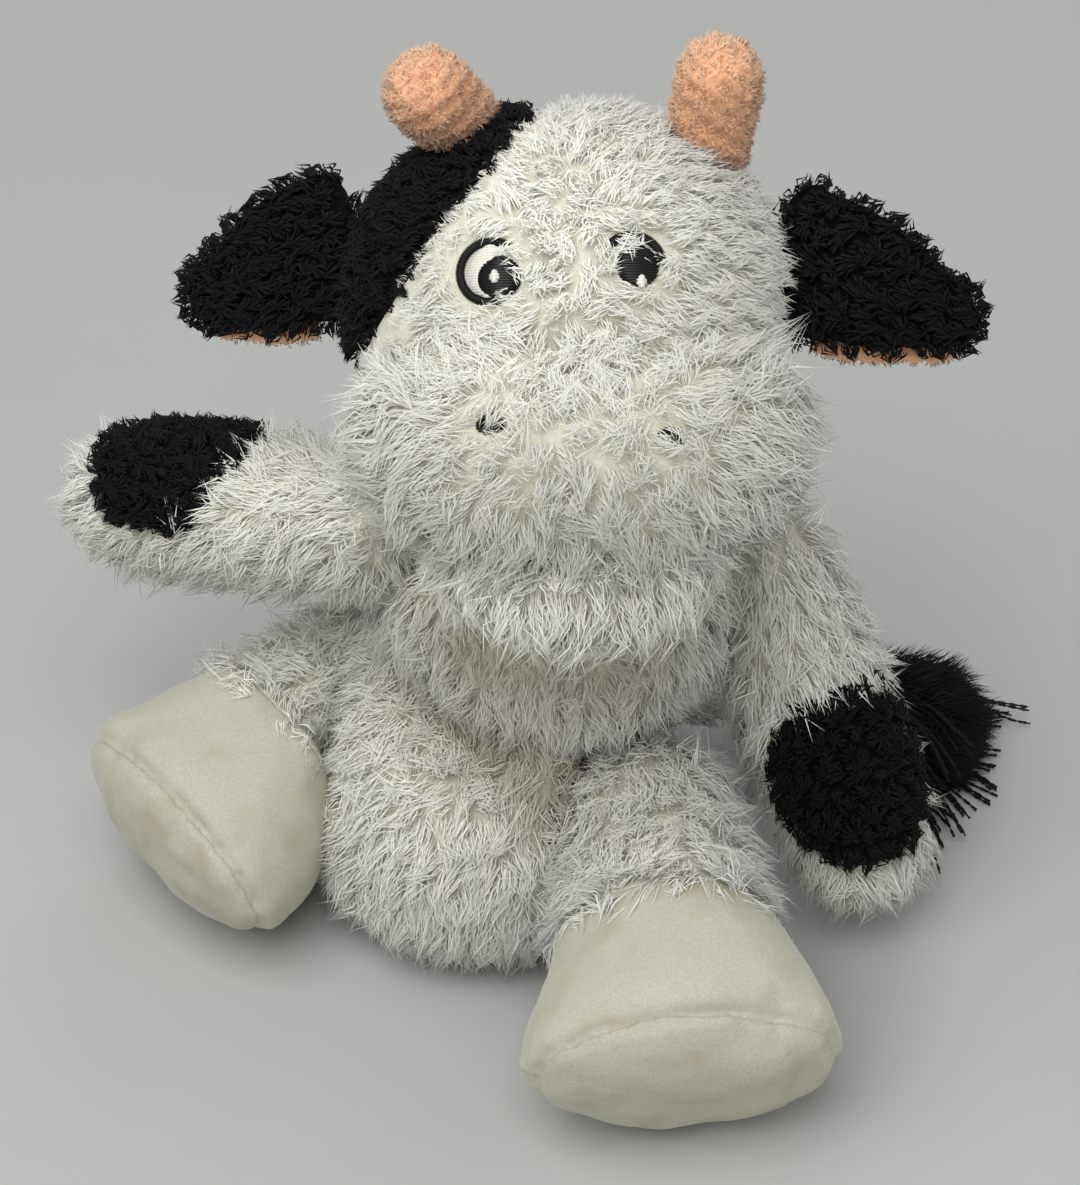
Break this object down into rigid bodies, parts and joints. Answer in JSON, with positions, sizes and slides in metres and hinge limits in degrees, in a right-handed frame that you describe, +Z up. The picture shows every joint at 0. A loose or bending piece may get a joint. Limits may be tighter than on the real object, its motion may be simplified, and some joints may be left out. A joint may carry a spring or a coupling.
{
  "type": "plush cow",
  "caption": "Small seated plush cow with long shaggy cream pile, dark patches, floppy ears, soft horns, boot-shaped feet and a tasselled tail.",
  "frame": {"origin": "middle of the floor plane under the seated toy", "axes": "+Z up, the face looks along -Y, +X is the cow's own left"},
  "size_m": [0.168, 0.1164, 0.1702],
  "materials": {
    "white_pile": "long glossy cream-white pile",
    "black_pile": "short dull black pile",
    "peach_pile": "short peach pile",
    "velour": "smooth cream velour",
    "sole_velour": "smooth greyed cream velour",
    "fibre": "loose white fibre",
    "pellets": "small beads in a bag",
    "thread": "black embroidery thread",
    "seam_cloth": "turned-in cloth"
  },
  "bodies": {
    "torso": {"torso_cover": "white_pile", "pellet_pouch": "pellets", "torso_filling": "fibre"},
    "neck": {"neck_roll": "seam_cloth"},
    "head": {"head_cover": "white_pile", "head_patch": "black_pile", "head_filling": "fibre", "muzzle_cover": "white_pile", "muzzle_filling": "fibre", "chin": "white_pile", "left_eye_outline": "thread", "left_eye_pupil": "thread", "left_nostril": "thread", "left_horn": "peach_pile", "right_eye_outline": "thread", "right_eye_pupil": "thread", "right_nostril": "thread", "right_horn": "peach_pile"},
    "left_ear": {"left_ear_cover": "black_pile", "left_ear_lining": "peach_pile"},
    "right_ear": {"right_ear_cover": "black_pile", "right_ear_lining": "peach_pile"},
    "left_arm": {"left_arm_cover": "white_pile", "left_arm_patch": "black_pile", "left_arm_filling": "fibre"},
    "right_arm": {"right_arm_cover": "white_pile", "right_arm_patch": "black_pile", "right_arm_filling": "fibre"},
    "left_leg": {"left_leg_cover": "white_pile", "left_foot_cover": "velour", "left_foot_sole": "sole_velour", "left_leg_filling": "fibre", "left_foot_pellets": "pellets"},
    "right_leg": {"right_leg_cover": "white_pile", "right_foot_cover": "velour", "right_foot_sole": "sole_velour", "right_leg_filling": "fibre", "right_foot_pellets": "pellets"},
    "tail": {"tail_stem": "white_pile", "tail_tassel": "black_pile"}
  },
  "joints": [
    {"name": "neck_turn", "type": "hinge", "parent": "torso", "child": "neck", "pos_m": [0.0057, 0.01932, 0.09], "axis": [0, 0, 1], "range_deg": [-25, 25], "stiffness_Nm_per_rad": 0.15},
    {"name": "head_nod", "type": "hinge", "parent": "neck", "child": "head", "pos_m": [0.0057, 0.01932, 0.09], "axis": [1, 0, 0], "range_deg": [-8, 12], "stiffness_Nm_per_rad": 0.5},
    {"name": "left_ear_flap", "type": "hinge", "parent": "head", "child": "left_ear", "pos_m": [0.04279, 0.01785, 0.13347], "axis": [-0.3315, -0.5817, -0.7428], "range_deg": [-20, 25], "stiffness_Nm_per_rad": 0.02},
    {"name": "right_ear_flap", "type": "hinge", "parent": "head", "child": "right_ear", "pos_m": [-0.03284, 0.01999, 0.13454], "axis": [-0.2439, 0.6495, 0.7202], "range_deg": [-20, 25], "stiffness_Nm_per_rad": 0.02},
    {"name": "left_shoulder", "type": "hinge", "parent": "torso", "child": "left_arm", "pos_m": [0.04056, 0.02272, 0.06443], "axis": [0, -1, 0], "range_deg": [-5, 60], "stiffness_Nm_per_rad": 0.12},
    {"name": "right_shoulder", "type": "hinge", "parent": "torso", "child": "right_arm", "pos_m": [-0.02966, 0.01931, 0.07804], "axis": [0, 1, 0], "range_deg": [-12, 30], "stiffness_Nm_per_rad": 0.12},
    {"name": "left_hip", "type": "hinge", "parent": "torso", "child": "left_leg", "pos_m": [0.01987, -0.00518, 0.02877], "axis": [-0.9945, -0.1045, 0], "range_deg": [0, 35]},
    {"name": "right_hip", "type": "hinge", "parent": "torso", "child": "right_leg", "pos_m": [-0.02835, 0.03303, 0.03025], "axis": [-0.6293, 0.7771, 0], "range_deg": [0, 35]},
    {"name": "tail_lift", "type": "hinge", "parent": "torso", "child": "tail", "pos_m": [0.01318, 0.04476, 0.01143], "axis": [0.2079, -0.9781, 0], "range_deg": [0, 45]}
  ]
}
